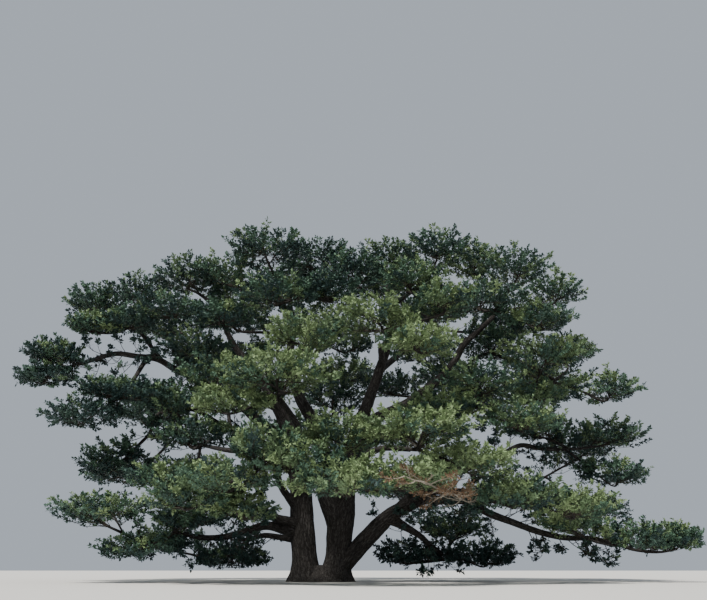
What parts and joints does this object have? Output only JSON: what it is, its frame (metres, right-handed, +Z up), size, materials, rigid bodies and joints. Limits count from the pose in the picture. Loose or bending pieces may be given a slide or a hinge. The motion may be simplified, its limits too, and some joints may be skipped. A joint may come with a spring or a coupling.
{
  "type": "spreading evergreen tree",
  "caption": "Old broad evergreen tree: a short flared trunk parting low into leaning stems, long winding boughs and domed pads of foliage over a wide open crown.",
  "frame": {"origin": "middle of the flat cut under the trunk, at ground level", "axes": "+Z up the tree, +X along the widest spread of the crown, -Y towards the side that is seen from the front"},
  "size_m": [33.0654, 27.3622, 18.2079],
  "materials": {
    "bark": "rough furrowed bark, dark grey brown",
    "foliage": "matt leaves, olive green to dark green"
  },
  "bodies": {
    "root": {"trunk": "bark", "left_stem": "bark", "right_stem": "bark", "low_stem": "bark", "back_left": "bark", "back_low_right": "bark", "back_mid": "bark", "back_right": "bark", "back_top": "bark", "back_top_right": "bark", "front_left": "bark", "front_left_low": "bark", "front_low": "bark", "front_right": "bark", "front_top": "bark", "high_left": "bark", "high_right": "bark", "left_arm": "bark", "left_back": "bark", "left_droop": "bark", "left_elbow": "bark", "left_inner": "bark", "left_low": "bark", "left_riser": "bark", "left_shoulder": "bark", "right_arm": "bark", "right_centre": "bark", "right_drop": "bark", "right_elbow": "bark", "right_front": "bark", "right_riser": "bark", "right_sweep": "bark", "back_left_foliage": "foliage", "back_low_right_foliage": "foliage", "back_mid_foliage": "foliage", "back_right_foliage": "foliage", "back_top_foliage": "foliage", "back_top_right_foliage": "foliage", "front_left_foliage": "foliage", "front_left_low_foliage": "foliage", "front_low_foliage": "foliage", "front_right_foliage": "foliage", "front_top_foliage": "foliage", "high_left_foliage": "foliage", "high_right_foliage": "foliage", "left_arm_foliage": "foliage", "left_back_foliage": "foliage", "left_droop_foliage": "foliage", "left_elbow_foliage": "foliage", "left_inner_foliage": "foliage", "left_low_foliage": "foliage", "left_riser_foliage": "foliage", "left_shoulder_foliage": "foliage", "right_arm_foliage": "foliage", "right_centre_foliage": "foliage", "right_drop_foliage": "foliage", "right_elbow_foliage": "foliage", "right_front_foliage": "foliage", "right_riser_foliage": "foliage", "right_sweep_foliage": "foliage"}
  },
  "joints": []
}
